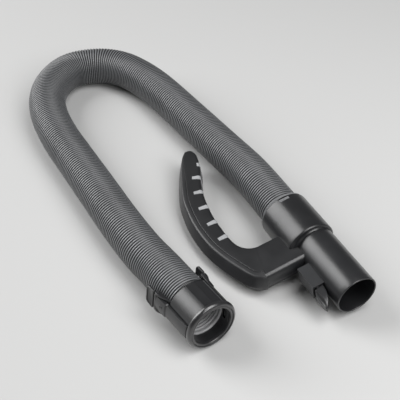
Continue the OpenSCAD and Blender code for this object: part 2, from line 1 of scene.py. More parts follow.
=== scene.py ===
import bmesh
import bpy
import numpy as np
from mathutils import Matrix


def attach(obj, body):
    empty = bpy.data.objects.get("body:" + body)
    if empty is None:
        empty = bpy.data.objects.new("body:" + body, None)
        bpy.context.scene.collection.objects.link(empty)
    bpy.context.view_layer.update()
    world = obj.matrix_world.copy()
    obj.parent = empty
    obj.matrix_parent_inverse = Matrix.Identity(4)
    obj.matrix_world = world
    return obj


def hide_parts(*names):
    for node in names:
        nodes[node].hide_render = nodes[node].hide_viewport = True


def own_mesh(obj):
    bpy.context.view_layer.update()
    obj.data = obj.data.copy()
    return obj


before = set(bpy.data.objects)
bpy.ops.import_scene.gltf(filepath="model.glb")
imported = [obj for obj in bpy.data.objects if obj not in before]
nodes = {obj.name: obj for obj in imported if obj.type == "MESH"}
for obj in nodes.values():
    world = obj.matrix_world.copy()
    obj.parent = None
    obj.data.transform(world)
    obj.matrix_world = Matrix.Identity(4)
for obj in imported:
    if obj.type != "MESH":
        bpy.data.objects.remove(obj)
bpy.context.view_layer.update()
print("frame loaded:", len(nodes), "nodes")

# camera

cameraSettings = {
    "place": (-0.0540, -0.5732, 0.60525),
    "tiltDegrees": 47,
    "lensMm": 76.5,
}
cameraData = bpy.data.cameras.new("camera")
cameraData.lens = cameraSettings["lensMm"]
cameraData.clip_start = 0.02
camera = bpy.data.objects.new("camera", cameraData)
camera.location = cameraSettings["place"]
camera.rotation_euler = (np.radians(cameraSettings["tiltDegrees"]), 0, 0)
bpy.context.scene.collection.objects.link(camera)
bpy.context.scene.camera = camera


# materials

# sets a node's inputs to values, or links them to other nodes' outputs; a colour may leave out its alpha
def setInputs(tree, node, inputs):
    for key, value in inputs.items():
        if isinstance(value, bpy.types.NodeSocket):
            tree.links.new(value, node.inputs[key])
        elif isinstance(value, tuple) and node.inputs[key].type == "RGBA":
            node.inputs[key].default_value = (*value, 1)
        elif value is not None:
            node.inputs[key].default_value = value


def addNode(tree, kind, output, inputs, **settings):
    node = tree.nodes.new("ShaderNode" + kind)
    for key, value in settings.items():
        setattr(node, key, value)
    setInputs(tree, node, inputs)
    return node.outputs[output]


# a noise on the piece, as fine as scale says, with its factor stretched between low and high
def addNoise(tree, scale, low, high, detail=3, stretch=(1, 1, 1)):
    place = addNode(tree, "TexCoord", "Object", {})
    mapped = addNode(tree, "Mapping", "Vector", {"Vector": place, "Scale": stretch})
    noise = addNode(tree, "TexNoise", "Fac", {"Vector": mapped, "Scale": scale, "Detail": detail})
    limits = {"From Min": 0.3, "From Max": 0.7, "To Min": low, "To Max": high}
    return addNode(tree, "MapRange", "Result", {"Value": noise, **limits})


def mixColours(tree, factor, dark, light):
    return addNode(tree, "Mix", 2, {0: factor, 6: dark, 7: light}, data_type="RGBA")


def addBump(tree, height, strength, distance, under=None):
    inputs = {"Height": height, "Strength": strength, "Distance": distance, "Normal": under}
    return addNode(tree, "Bump", "Normal", inputs)


def newMaterial(name):
    material = bpy.data.materials.new(name)
    material.use_nodes = True
    return material, material.node_tree, material.node_tree.nodes["Principled BSDF"]


# what the moulded finishes share: scales of noises, and strengths and depths of bumps
moulding = {
    "clouds": 28, "patches": 60, "waves": 45, "grainStrength": 0.35, "waveStrength": 0.025, "waveDepth": 0.0004,
    "coatRoughness": 0.25, "sheenRoughness": 0.4,
}


# moulded plastic or rubber: two tones in soft clouds, a moulded grain, and dull patches where it is handled
def mouldedFinish(name, dark, light, dull, shiny, grain=2600, grainDepth=0.00003, coat=0, sheen=0):
    material, tree, shader = newMaterial(name)
    fine = addBump(tree, addNoise(tree, grain, 0, 1, 2), moulding["grainStrength"], grainDepth)
    waves = addNoise(tree, moulding["waves"], 0, 1, 2)
    setInputs(tree, shader, {
        "Base Color": mixColours(tree, addNoise(tree, moulding["clouds"], 0, 1, 4), dark, light),
        "Roughness": addNoise(tree, moulding["patches"], shiny, dull, 5),
        "Normal": addBump(tree, waves, moulding["waveStrength"], moulding["waveDepth"], fine),
        "Coat Weight": coat, "Coat Roughness": moulding["coatRoughness"],
        "Sheen Weight": sheen, "Sheen Roughness": moulding["sheenRoughness"],
    })
    return material


steel = {"lines": 900, "tones": 120, "patches": 300, "dull": 0.42, "shiny": 0.26, "strength": 0.3, "depth": 0.00002}


# ground or drawn steel: fine lines one way, a little darker in patches
def steelFinish(name, dark, light, stretch):
    material, tree, shader = newMaterial(name)
    lines = addNoise(tree, steel["lines"], 0, 1, 2, stretch)
    setInputs(tree, shader, {
        "Metallic": 1,
        "Base Color": mixColours(tree, addNoise(tree, steel["tones"], 0, 1, 3), dark, light),
        "Roughness": addNoise(tree, steel["patches"], steel["shiny"], steel["dull"], 3, stretch),
        "Normal": addBump(tree, lines, steel["strength"], steel["depth"]),
    })
    return material


vinyl = {
    # the crest tones are painted lighter as a highlight; the groove colour and the lining's groove colour are painted
    # shade
    "crestHighlightDark": (0.165, 0.17, 0.178), "crestHighlightLight": (0.215, 0.222, 0.232), "groove": (0.004, 0.004, 0.0045),
    "lining": (0.62, 0.62, 0.63), "liningGrooveShade": (0.16, 0.16, 0.165), "clouds": 22, "patches": 80,
    "shiny": 0.26, "dull": 0.38, "grooveDull": 0.35, "grain": 1800, "strength": 0.2, "depth": 0.00003, "coat": 0.4,
}


# hose wall: crests a little lighter as a painted highlight and shinier, grooves dark as painted shade and duller, and
# a paler lining inside whose rib valleys are painted darker as shade
def hoseFinish(name):
    material, tree, shader = newMaterial(name)
    groove, lining = (addNode(tree, "Attribute", "Fac", {}, attribute_name=key) for key in ("groove", "lining"))
    crest = mixColours(tree, addNoise(tree, vinyl["clouds"], 0, 1, 4), vinyl["crestHighlightDark"], vinyl["crestHighlightLight"])
    # painted shade: the crest colour darkened into the grooves
    wall = mixColours(tree, groove, crest, vinyl["groove"])
    # painted shade: the pale lining darkened into its rib valleys
    pale = mixColours(tree, groove, vinyl["lining"], vinyl["liningGrooveShade"])
    patches = addNoise(tree, vinyl["patches"], vinyl["shiny"], vinyl["dull"], 4)
    setInputs(tree, shader, {
        "Base Color": mixColours(tree, lining, wall, pale),
        "Roughness": addNode(tree, "Math", "Value", {0: groove, 1: vinyl["grooveDull"], 2: patches},
                             operation="MULTIPLY_ADD"),
        "Normal": addBump(tree, addNoise(tree, vinyl["grain"], 0, 1, 3), vinyl["strength"], vinyl["depth"]),
        "Coat Weight": vinyl["coat"], "Coat Roughness": moulding["coatRoughness"],
    })
    return material


# dark and light tone, dull and shiny roughness, and what differs from the usual grain and coat
plastics = {
    "shellPlastic": [(0.0105, 0.0108, 0.0118), (0.015, 0.0154, 0.0168), 0.4, 0.32, {"coat": 0.35}],
    "armPlastic": [(0.0115, 0.0118, 0.0128), (0.016, 0.0164, 0.0178), 0.48, 0.4,
                   {"grain": 1700, "grainDepth": 0.00005}],
    "tubePlastic": [(0.012, 0.0124, 0.0135), (0.0165, 0.017, 0.0185), 0.38, 0.31, {"coat": 0.4}],
    "innerPlastic": [(0.15, 0.152, 0.158), (0.2, 0.202, 0.208), 0.5, 0.4, {}],
    "softGrip": [(0.017, 0.0173, 0.0185), (0.0235, 0.024, 0.0255), 0.44, 0.35,
                 {"grain": 1400, "grainDepth": 0.00005, "sheen": 0.03}],
    "softRim": [(0.015, 0.015, 0.016), (0.0215, 0.0215, 0.023), 0.34, 0.27, {"grain": 1500, "coat": 1}],
    "housingPlastic": [(0.026, 0.0268, 0.0285), (0.034, 0.035, 0.037), 0.38, 0.3,
                       {"grain": 1900, "grainDepth": 0.00004}],
    "barPlastic": [(0.31, 0.315, 0.325), (0.39, 0.395, 0.405), 0.5, 0.4, {"grain": 1700, "grainDepth": 0.00006}],
    "sealRubber": [(0.018, 0.018, 0.018), (0.028, 0.028, 0.028), 0.75, 0.6, {}],
}
# dark and light tone, and how far the lines are drawn out along x, y and z
steels = {
    "pinSteel": [(0.16, 0.16, 0.17), (0.26, 0.26, 0.27), (1, 1, 0.1)],
    "springSteel": [(0.45, 0.45, 0.47), (0.66, 0.66, 0.67), (1, 1, 1)],
    "screwSteel": [(0.40, 0.41, 0.42), (0.56, 0.57, 0.58), (1, 1, 0.2)],
}
finishes = {name: mouldedFinish(name, *values, **extra) for name, (*values, extra) in plastics.items()}
finishes |= {name: steelFinish(name, *values) for name, values in steels.items()}
finishes["hoseVinyl"] = hoseFinish("hoseVinyl")
print("materials made:", len(finishes))


# tools for surfaces

# quads between neighbouring rows and columns of a grid whose points are numbered row by row
def gridFaces(rows, columns, closed=False, closedRows=False):
    row, column = np.meshgrid(np.arange(rows if closedRows else rows - 1),
                              np.arange(columns if closed else columns - 1), indexing="ij")
    nextRow, nextColumn = (row + 1) % rows, (column + 1) % columns
    return np.stack([row * columns + column, row * columns + nextColumn,
                     nextRow * columns + nextColumn, nextRow * columns + column], -1).reshape(-1, 4)


# a mesh object from a shell, whose points place turns into metres, with coincident points merged and its faces
# turned outwards
def makePiece(name, place, shell, node, finish, body="hose_and_handle", merge=1e-6, sharp=40, attributes=None):
    mesh = bpy.data.meshes.new(name)
    mesh.from_pydata(place(shell[0]).tolist(), [], [list(map(int, f)) for f in shell[1]])
    for key, values in (attributes or {}).items():
        attribute = mesh.attributes.new(key, "FLOAT", "POINT")
        attribute.data.foreach_set("value", np.asarray(values, np.float32).ravel())
    work = bmesh.new()
    work.from_mesh(mesh)
    bmesh.ops.remove_doubles(work, verts=work.verts, dist=merge)
    bmesh.ops.dissolve_degenerate(work, dist=merge / 2, edges=work.edges)
    bmesh.ops.recalc_face_normals(work, faces=work.faces)
    work.to_mesh(mesh)
    work.free()
    return finishPiece(name, mesh, node, finish, body, sharp)


def finishPiece(name, mesh, node, finish, body, sharp):
    mesh.shade_smooth()
    mesh.set_sharp_from_angle(angle=np.radians(sharp))
    mesh.materials.append(finishes[finish])
    piece = bpy.data.objects.new(name, mesh)
    bpy.context.scene.collection.objects.link(piece)
    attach(piece, body)
    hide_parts(node)
    return piece


# the CAD's own shape with its loose triangles joined into whole faces, and edges sharper than angle rounded
def roundedCopy(name, node, finish, width, segments, angle=35):
    mesh = nodes[node].data.copy()
    mesh.materials.clear()
    work = bmesh.new()
    work.from_mesh(mesh)
    bmesh.ops.remove_doubles(work, verts=work.verts, dist=2e-6)
    bmesh.ops.dissolve_limit(work, angle_limit=np.radians(0.5), verts=work.verts, edges=work.edges)
    work.to_mesh(mesh)
    work.free()
    mesh.name = name
    piece = finishPiece(name, mesh, node, finish, "hose_and_handle", angle)
    bevel = piece.modifiers.new("roundedEdges", "BEVEL")
    bevel.width, bevel.segments = width, segments
    bevel.limit_method, bevel.angle_limit = "ANGLE", np.radians(angle)
    bevel.harden_normals = True
    return piece


# smooth curve through points: between b and c it is half of
# 2b + (c - a)t + (2a - 5b + 4c - d)t^2 + (3b - a - 3c + d)t^3
def smoothCurve(points, steps):
    p = np.asarray(points, float)
    p = np.vstack([2 * p[0] - p[1], p, 2 * p[-1] - p[-2]])
    a, b, c, d = (p[i:len(p) - 3 + i, None, :] for i in range(4))
    t = (np.arange(steps) / steps)[None, :, None]
    curve = 0.5 * (2 * b + (c - a) * t + (2 * a - 5 * b + 4 * c - d) * t ** 2
                   + (3 * b - a - 3 * c + d) * t ** 3)
    return np.vstack([curve.reshape(-1, p.shape[1]), p[-2]])


def distanceAlong(points):
    return np.concatenate([[0], np.cumsum(np.linalg.norm(np.diff(points, axis=0), axis=1))])


def pointAt(points, distances, wanted):
    return np.stack([np.interp(wanted, distances, points[:, i]) for i in range(points.shape[1])], -1)


def unit(vectors):
    return vectors / np.linalg.norm(vectors, axis=-1, keepdims=True)


# turn about z by yaw after a turn about y by nod after a turn about x by roll, in radians
def turnMatrix(yaw, nod, roll):
    cy, sy, cn, sn, cr, sr = np.cos(yaw), np.sin(yaw), np.cos(nod), np.sin(nod), np.cos(roll), np.sin(roll)
    return (np.array([[cy, -sy, 0], [sy, cy, 0], [0, 0, 1]]) @ np.array([[cn, 0, sn], [0, 1, 0], [-sn, 0, cn]])
            @ np.array([[1, 0, 0], [0, cr, -sr], [0, sr, cr]]))


# shells, each of points and faces, put together as one
def joined(shells):
    faces, start = [], 0
    for points, shellFaces in shells:
        faces += [[i + start for i in f] for f in shellFaces]
        start += len(points)
    return np.vstack([points for points, _ in shells]), faces


# a closed outline with each corner C rounded between A and B, which lie on its two sides:
# (1 - u)^2 A + 2 u (1 - u) C + u^2 B
def roundOutline(corners, radius, steps=6):
    c = np.asarray(corners, float)
    before, after = np.roll(c, 1, 0) - c, np.roll(c, -1, 0) - c
    room = 0.48 * np.minimum(np.linalg.norm(before, axis=1), np.linalg.norm(after, axis=1))
    reach = np.minimum(np.broadcast_to(np.asarray(radius, float), len(c)), room)[:, None]
    a, b = (c + unit(before) * reach)[:, None], (c + unit(after) * reach)[:, None]
    u = np.linspace(0, 1, steps)[None, :, None]
    return ((1 - u) ** 2 * a + 2 * u * (1 - u) * c[:, None] + u ** 2 * b).reshape(-1, 2)


# a rounded rectangle between two values of x and two of y
def roundBox(x, y, radius, steps=6):
    return roundOutline([[x[0], y[0]], [x[1], y[0]], [x[1], y[1]], [x[0], y[1]]], radius, steps)


# angles in radians, between two given in degrees or all the way round
def sweep(first, last, count):
    return np.radians(np.linspace(first, last, count))


def evenAngles(count):
    return np.arange(count) * 2 * np.pi / count


def circleOutline(x, y, radius):
    a = evenAngles(32)
    return np.column_stack([x + radius * np.cos(a), y + radius * np.sin(a)])


# a grid whose rows are closed sections, with both ends capped
def capped(grid):
    rows, columns = grid.shape[:2]
    caps = [list(range(columns))[::-1], list(range((rows - 1) * columns, rows * columns))]
    return grid.reshape(-1, 3), gridFaces(rows, columns, closed=True).tolist() + caps


# a grid whose rows and columns are both closed
def ringShell(grid):
    return grid.reshape(-1, 3), gridFaces(*grid.shape[:2], closed=True, closedRows=True).tolist()


# a plate on an outline between two heights with quarter-round edges: a height of e (1 - sin t) from the face
# has the outline drawn in by e (1 - cos t), and the face starts a little further in; a recess in the upper face
# is a list of insets and depths
def slab(outline, low, high, edge=0.4, steps=4, recess=()):
    faceIn = edge + 0.12
    p = np.asarray(outline, float)
    way = unit(np.roll(p, -1, 0) - np.roll(p, 1, 0))
    turn = np.sign(np.sum(p[:, 0] * np.roll(p[:, 1], -1) - np.roll(p[:, 0], -1) * p[:, 1]))
    inwards = np.column_stack([-way[:, 1], way[:, 0]]) * turn
    t = np.linspace(0, np.pi / 2, steps)
    inset = edge * (1 - np.cos(t))
    inset = np.concatenate([[faceIn], inset[::-1], inset, [faceIn], [wide for wide, _ in recess]])
    short = edge * (1 - np.sin(t))
    height = np.concatenate([[low], low + short[::-1], high - short, [high], [high - deep for _, deep in recess]])
    return capped(np.concatenate([p[None] + inset[:, None, None] * inwards[None],
                                  np.broadcast_to(height[:, None, None], (len(height), len(p), 1))], -1))


# the same shell with its x, y and z swapped or mirrored
def placed(shell, order=(0, 1, 2), signs=(1, 1, 1)):
    return shell[0][:, list(order)] * np.array(signs, float), shell[1]


# angles in degrees from key to key, each stretch divided into as many steps as counts says
def spacedAngles(keys, counts):
    return np.concatenate([np.linspace(*ends, endpoint=False) for ends in zip(keys, keys[1:], counts)])


# a turned wall with a window through each of the given stretches of angles: the quads of the outer and the inner row
# are left out there, and the window's four walls added; the outer row starts at x = window
def windowedShell(grid, counts, stretches, outer, window, innerRow):
    rows, columns = grid.shape[:2]
    quads, starts = gridFaces(rows, columns, closed=True, closedRows=True), np.cumsum([0, *counts])
    outerRow, innerRow = int(np.argmin(np.abs(outer[:, 0] - window))), len(outer) + innerRow
    outerA, outerB = outerRow * columns, (outerRow + 1) * columns
    innerB, innerA = innerRow * columns, (innerRow + 1) * columns
    for first, last in ((starts[i], starts[i + 1]) for i in stretches):
        row, column = quads[:, 0] // columns, quads[:, 0] % columns
        inside = (column >= first) & (column < last) & ((row == outerRow) | (row == innerRow))
        c = np.arange(first, last)
        quads = np.vstack([
            quads[~inside],
            np.stack([outerA + c, outerA + c + 1, innerA + c + 1, innerA + c], -1),
            np.stack([outerB + c + 1, outerB + c, innerB + c, innerB + c + 1], -1),
            [[outerA + first, outerB + first, innerB + first, innerA + first],
             [outerB + last, outerA + last, innerA + last, innerB + last]],
        ])
    return grid.reshape(-1, 3), quads.tolist()


# hose

# lengths in metres, but the pitch of the ribs in millimetres at distances along the hose
hose = {
    "radius": 0.021, "bore": 0.0175, "grooveDepth": 0.0014, "endFade": 0.0015, "sides": 38,
    "pitchAt": [[0, 0.12, 0.28, 0.45, 0.56, 0.69, 0.84], [2.72, 2.85, 3.05, 3.08, 3.0, 2.84, 2.72]],
    "boreRib": 0.0005, "borePitch": 0.00272, "boreRibbed": 0.05, "boreStep": 0.012,
    "linePoints": 1681, "smoothing": 16,
}

# the middle line in millimetres, moved by centre: out of the sleeve, round the loop on the floor, and up a little
# to the cuff, whose height it reaches a little past its last point
centre = np.array([-3, -1.2])
handleHeight, hoseHeight, hoseEndHeight, cuffHeight, cuffPast = 25.3, 21.05, 21.4, 25.4, 12
startPoints = np.array([[43, 8.5], [20, 53], [8.5, 75.25]]) + centre
middlePoints = np.array([
    [-3.5, 98, 2.9], [-24.5, 131, 1.4], [-45.5, 163.5, 0.5], [-66.5, 195, 0.1], [-88, 227, 0],
    [-105, 250, 0], [-123, 269.5, 0], [-142.5, 285, 0], [-164, 292.5, 0], [-186, 291.5, 0],
    [-205, 283.5, 0], [-218.5, 267, 0], [-226, 244, 0], [-226.5, 221, 0], [-222, 199, 0],
    [-214, 177, 0], [-201, 149.5, 0], [-187, 124.5, 0], [-172, 98, 0], [-155, 68, 0],
    [-137.5, 36.5, 0], [-120.5, 7.5, 0], [-104, -18.5, 0],
]) + [*centre, hoseHeight]
endPoints = np.array([[-89, -38.5], [-75, -59], [-47, -100]])
endRise = np.linalg.norm(endPoints - endPoints[0], axis=1)
cuffSlope = (cuffHeight - hoseEndHeight) / (endRise[-1] + cuffPast)
route = np.vstack([
    np.column_stack([startPoints, np.full(3, handleHeight)]),
    middlePoints,
    np.column_stack([endPoints + centre, hoseEndHeight + cuffSlope * endRise]),
]) / 1000

roughLine = smoothCurve(route, 10)
roughAt = distanceAlong(roughLine)
hoseLength = roughAt[-1]

# the line at every half millimetre, with its small corners rounded off by a bell-shaped mean
lineAt = np.linspace(0, hoseLength, hose["linePoints"])
line = pointAt(roughLine, roughAt, lineAt)
weights = np.exp(-np.linspace(-2.5, 2.5, 2 * hose["smoothing"] + 1) ** 2 / 2)
weights /= weights.sum()
past = np.arange(1, hose["smoothing"] + 1)[:, None]
padded = np.vstack([line[0] + (line[0] - line[1]) * past[::-1], line, line[-1] + (line[-1] - line[-2]) * past])
line = np.column_stack([np.convolve(padded[:, i], weights, "valid") for i in range(3)])
lineAt = distanceAlong(line)
lineAt *= hoseLength / lineAt[-1]
lineWay = unit(np.gradient(line, axis=0))


# rings round the line: at distance s and angle a a point is line(s) + r (side cos a + up sin a)
def roundLine(s, radius):
    angle = angles * np.ones_like(s)
    middle = pointAt(line, lineAt, s)
    way = unit(pointAt(lineWay, lineAt, s))
    side = unit(np.cross(way, [0, 0, 1]))
    up = np.cross(side, way)
    return middle + radius[..., None] * (side * np.cos(angle)[..., None] + up * np.sin(angle)[..., None])


# the turns counted along the hose, whose pitch is a little wider where it is bent and stretched
pitch = np.interp(lineAt, *hose["pitchAt"]) / 1000
turnAt = np.concatenate([[0], np.cumsum(np.diff(lineAt) / ((pitch[1:] + pitch[:-1]) / 2))])
turns = int(np.ceil(turnAt[-1])) + 1
ribSteps = np.array([0, 0.09, 0.21, 0.35, 0.5, 0.65, 0.79, 0.91])

# outside: rows follow the helix, so row t at side k lies where the turns counted are t + k / sides - 1,
# and the radius falls from the round crest by the groove's depth times (1 - sqrt(1 - 0.96 u^2)) / 0.8, where u
# is the share of the way from the crest to the groove
rowTurn = (np.arange(turns + 1)[:, None] + ribSteps).ravel()
sides = hose["sides"]
angles = evenAngles(sides)[None, :]
sGrid = np.interp(rowTurn[:, None] + np.arange(sides) / sides - 1, turnAt, lineAt)
fromCrest = np.abs(2 * (rowTurn % 1) - 1)[:, None] * np.ones_like(sGrid)
fall = (1 - np.sqrt(1 - 0.96 * fromCrest ** 2)) / 0.8
# how far into the groove each row lies: the finish paints shade there and makes it duller
groove = np.clip((fromCrest - 0.12) / 0.55, 0, 1)
endFade = np.clip(np.minimum(sGrid, hoseLength - sGrid) / hose["endFade"], 0, 1)
outerRadius = hose["radius"] - hose["grooveDepth"] * (fall * endFade + (1 - endFade) * 0.5)
outerPoints = roundLine(sGrid, outerRadius)

# bore: plain rings, but near the cuff, where it shows through the mouth, close rows that follow a helix too
borePitch, ribbed = hose["borePitch"], hose["boreRibbed"]
boreAt = np.concatenate([np.arange(0, hoseLength - ribbed, hose["boreStep"]),
                         np.arange(hoseLength - ribbed + 0.005, hoseLength - 0.0003, borePitch / 4), [hoseLength]])
boreFade = np.clip((boreAt - hoseLength + ribbed) / 0.008, 0, 1) * np.clip((hoseLength - boreAt) / 0.003, 0, 1)
boreGrid = boreAt[:, None] - boreFade[:, None] * borePitch * np.arange(sides) / sides
# the bore's rib wave also paints shade into the lining's rib valleys through the groove attribute
boreWave = boreFade[:, None] * np.cos(2 * np.pi * (boreAt[:, None] - hoseLength) / borePitch) * np.ones_like(boreGrid)
borePoints = roundLine(boreGrid, hose["bore"] + hose["boreRib"] * boreWave)

# the faces run along the outside to the cuff and back along the bore
hosePoints = np.vstack([outerPoints, borePoints])
rowOrder = np.concatenate([np.arange(len(rowTurn)), np.arange(len(hosePoints))[:len(rowTurn) - 1:-1]])
corners = gridFaces(len(rowOrder), sides, closed=True, closedRows=True)
hoseShell = hosePoints.reshape(-1, 3), rowOrder[corners // sides] * sides + corners % sides
# the groove attribute carries the painted shade into the grooves outside and into the bore's rib valleys
ribbedHose = makePiece(
    "ribbedHose", np.asarray, hoseShell, "hose", "hoseVinyl", sharp=180,
    attributes={"groove": np.vstack([groove, 0.5 - 0.5 * boreWave]),
                "lining": np.repeat([0, 1], [groove.size, boreWave.size])})
print("hose made:", len(ribbedHose.data.polygons), "faces,", round(float(turnAt[-1]), 1), "turns")


# the handle's frame, in millimetres and degrees: x from the wand's mouth to the hose, y towards the grip
handleFrame = {"hoseEnd": [96, 2.6, 0], "roll": -10}
handleYaw = np.arctan2(route[1, 1] - route[0, 1], route[1, 0] - route[0, 0])
handleTurn = turnMatrix(handleYaw, 0, np.radians(handleFrame["roll"]))


def onHandle(points):
    return route[0] + (np.asarray(points, float) - handleFrame["hoseEnd"]) @ handleTurn.T / 1000


# the cuff's frame: x from the hose's side to the mouth
cuffFrame = {"hoseEnd": [25, 0, 0], "roll": -8}
cuffYaw = np.arctan2(route[-1, 1] - route[-2, 1], route[-1, 0] - route[-2, 0])
cuffTurn = turnMatrix(cuffYaw, -np.arctan(cuffSlope), np.radians(cuffFrame["roll"]))


def onCuff(points):
    return route[-1] + (np.asarray(points, float) - cuffFrame["hoseEnd"]) @ cuffTurn.T / 1000


# a profile of x and radius at each angle round an axis along x that lies at y = offset
def turned(profile, angles, offset=0):
    x, r = profile[:, 0, None], profile[:, 1, None]
    return np.stack([x + 0 * angles, offset + r * np.cos(angles), r * np.sin(angles)], -1)


def arc(x, r, radius, first, last, steps=6):
    a = sweep(first, last, steps)
    return np.column_stack([x + radius * np.cos(a), r + radius * np.sin(a)])


# wand tube: a plain wall with a half-round lip at its mouth

wandTube = {"radius": 20.5, "bore": 19.0, "end": 90, "sides": 112}
lip = (wandTube["radius"] - wandTube["bore"]) / 2
tubeProfile = np.vstack([
    arc(lip, wandTube["radius"] - lip, lip, 270, 90, 9),
    [[x, wandTube["radius"]] for x in (6, 24, 50, 71, wandTube["end"])],
    [[x, wandTube["bore"]] for x in (wandTube["end"], 60, 30, 12, 5)],
])
tubeShell = ringShell(turned(tubeProfile, evenAngles(wandTube["sides"])))
makePiece("wandTube", onHandle, tubeShell, "wand_tube", "tubePlastic")
print("wand tube made")


# sleeve, arm and grip

sleeve = {
    "radius": 25.3, "offset": 2.6, "bore": 23.2, "noseBore": 20.58, "start": 71, "end": 120,
    "nose": 2, "endRound": 0.7, "window": 115, "windowHalf": 5.5,
}
grip = {
    "half": 10.5, "strip": 4.5, "taperEnd": 180, "taper": 45, "crown": 0.45, "edgeRound": 2.2, "frontBulge": 5,
    "armFront": 60, "seam": -4, "seamStep": 0.07, "seamRound": 0.25,
}
# the grip's two edges, with x from the sleeve's nose
ridge = np.array([
    [-11, 59], [-10.3, 62.8], [-7.2, 67.4], [-1.6, 70.6], [6.5, 73.5], [16.6, 77.0], [29.7, 80.9], [47, 84.5],
    [66, 85.7], [83, 85.1], [99.8, 82.7], [115.8, 79.2], [134.8, 71.6], [153.8, 62.5], [169, 53.8], [176, 47.4],
]) + [sleeve["start"], 0]
innerEdge = np.array([
    [176, 47.5], [176.6, 42.5], [172, 39.2], [165, 39], [149, 43.5], [136, 49.8], [122.5, 55.6],
    [108.5, 59.8], [94, 62.8], [79, 64.8], [64, 65.4], [47, 65.2], [37, 63.8], [30, 60.8],
    [25, 55.8], [22.5, 50], [22, 43], [22, 10],
]) + [sleeve["start"], 0]


# the strip between the ridge and the shells' edge, which narrows towards the tip
def stripAt(x):
    return grip["strip"] * np.minimum(1, (sleeve["start"] + grip["taperEnd"] - x) / grip["taper"])


fineSteps = 8
ridgeFine = smoothCurve(ridge, fineSteps)
innerFine = smoothCurve(innerEdge, fineSteps)
ridgeWay = unit(np.gradient(ridgeFine, axis=0))
ridgeIn = np.column_stack([ridgeWay[:, 1], -ridgeWay[:, 0]])
stripLine = ridgeFine + stripAt(ridgeFine[:, 0])[:, None] * ridgeIn

# rows across the arm and the grip: each joins a point of the outer edge to one of the inner edge
pairOuter = np.array([0, 2, 4, 6, 7, 8, 9, 10, 11, 12, 13, 14, 14.6, 14.9])
pairInner = np.array([15, 14, 13, 12, 11, 10, 9, 8, 7, 5.9, 4.4, 2.4, 1.1, 0.35])
rowAt = np.concatenate([np.linspace(0, 6, 25), np.linspace(6, 14.9, 76)[1:]])
gripOuter = pointAt(stripLine, np.arange(len(stripLine)) / fineSteps, rowAt)
gripInner = pointAt(innerFine, np.arange(len(innerFine)) / fineSteps, np.interp(rowAt, pairOuter, pairInner))
armY = np.concatenate([np.linspace(10, 21, 6), np.linspace(22, 36, 22), np.linspace(38, 59, 12)])
armInnerAt = np.interp(armY, [10, 43, 59], [17, 16, 15])
armOuter = np.column_stack([np.full(len(armY), float(grip["armFront"])), armY])
armInner = pointAt(innerFine, np.arange(len(innerFine)) / fineSteps, armInnerAt)
rowOuter = np.vstack([armOuter, gripOuter])
rowInner = np.vstack([armInner, gripInner])
rowBulge = np.repeat([float(grip["frontBulge"]), 0.0], [len(armOuter), len(gripOuter)])[:, None]


# one half of the arm and grip, above the seam with side 1 and below it with side -1, its heights counted away from
# the middle: each row runs over the half-round front, across the face, which falls by the crown, and round the inner
# edge to the seam; the root follows the tube and the sleeve at y = sqrt(r^2 - z^2)
def gripHalf(side):
    half, crown, edge, seamRound = (grip[key] for key in ("half", "crown", "edgeRound", "seamRound"))
    low = side * grip["seam"]
    span = np.linalg.norm(rowInner - rowOuter, axis=1)[:, None]
    across = unit(rowInner - rowOuter)
    turn = np.radians(np.linspace(np.degrees(np.arcsin(low / half)), 90, 10))[None, :]
    frontIn = -rowBulge * np.cos(turn)
    frontZ = half * np.sin(turn) + 0 * frontIn
    corner = np.minimum(edge, 0.42 * span)
    faceIn = seamRound + np.linspace(0, 1, 30)[None, :-1] * (span - corner - seamRound)
    faceZ = half - crown * np.clip(faceIn / np.maximum(span, 1), 0, 1) ** 2
    bend = sweep(90, 0, 8)[None, :]
    cornerIn = span - corner + corner * np.cos(bend)
    cornerZ = half - crown - corner + corner * np.sin(bend)
    wallIn = np.concatenate([span, span, span - seamRound], 1)
    wallZ = np.concatenate([(cornerZ[:, -1:] + low) / 2, low + 0.35 + 0 * span, low + 0 * span], 1)
    acrossIn = np.concatenate([frontIn, faceIn, cornerIn, wallIn], 1)
    height = np.concatenate([frontZ, faceZ, cornerZ, wallZ], 1)
    height[:, 9:10] -= np.where(rowBulge > 0, 0, grip["seamStep"])
    acrossIn[:, 0:1] += np.where(rowBulge > 0, seamRound, 0)
    x = rowOuter[:, :1] + acrossIn * across[:, :1]
    y = rowOuter[:, 1:] + acrossIn * across[:, 1:]
    rootRadius = np.where(x < sleeve["start"], wandTube["radius"] + 0.05, sleeve["radius"] - 1)
    rootOffset = np.where(x < sleeve["start"], 0, sleeve["offset"])
    rootZ = np.minimum(np.abs(height), rootRadius)
    y = np.maximum(y, rootOffset + np.sqrt(np.maximum(0, rootRadius ** 2 - rootZ ** 2)))
    grid = np.stack([x, y, side * height], -1)
    rows, columns = grid.shape[:2]
    around = np.arange(columns)
    after = (around + 1) % columns
    lastRow, firstEnd = (rows - 1) * columns, rows * columns
    faces = [*gridFaces(rows, columns, closed=True).tolist(),
             *np.stack([around, after, np.full(columns, firstEnd)], -1).tolist(),
             *np.stack([after + lastRow, around + lastRow, np.full(columns, firstEnd + 1)], -1).tolist()]
    return np.vstack([grid.reshape(-1, 3), grid[0].mean(0), grid[-1].mean(0)]), faces


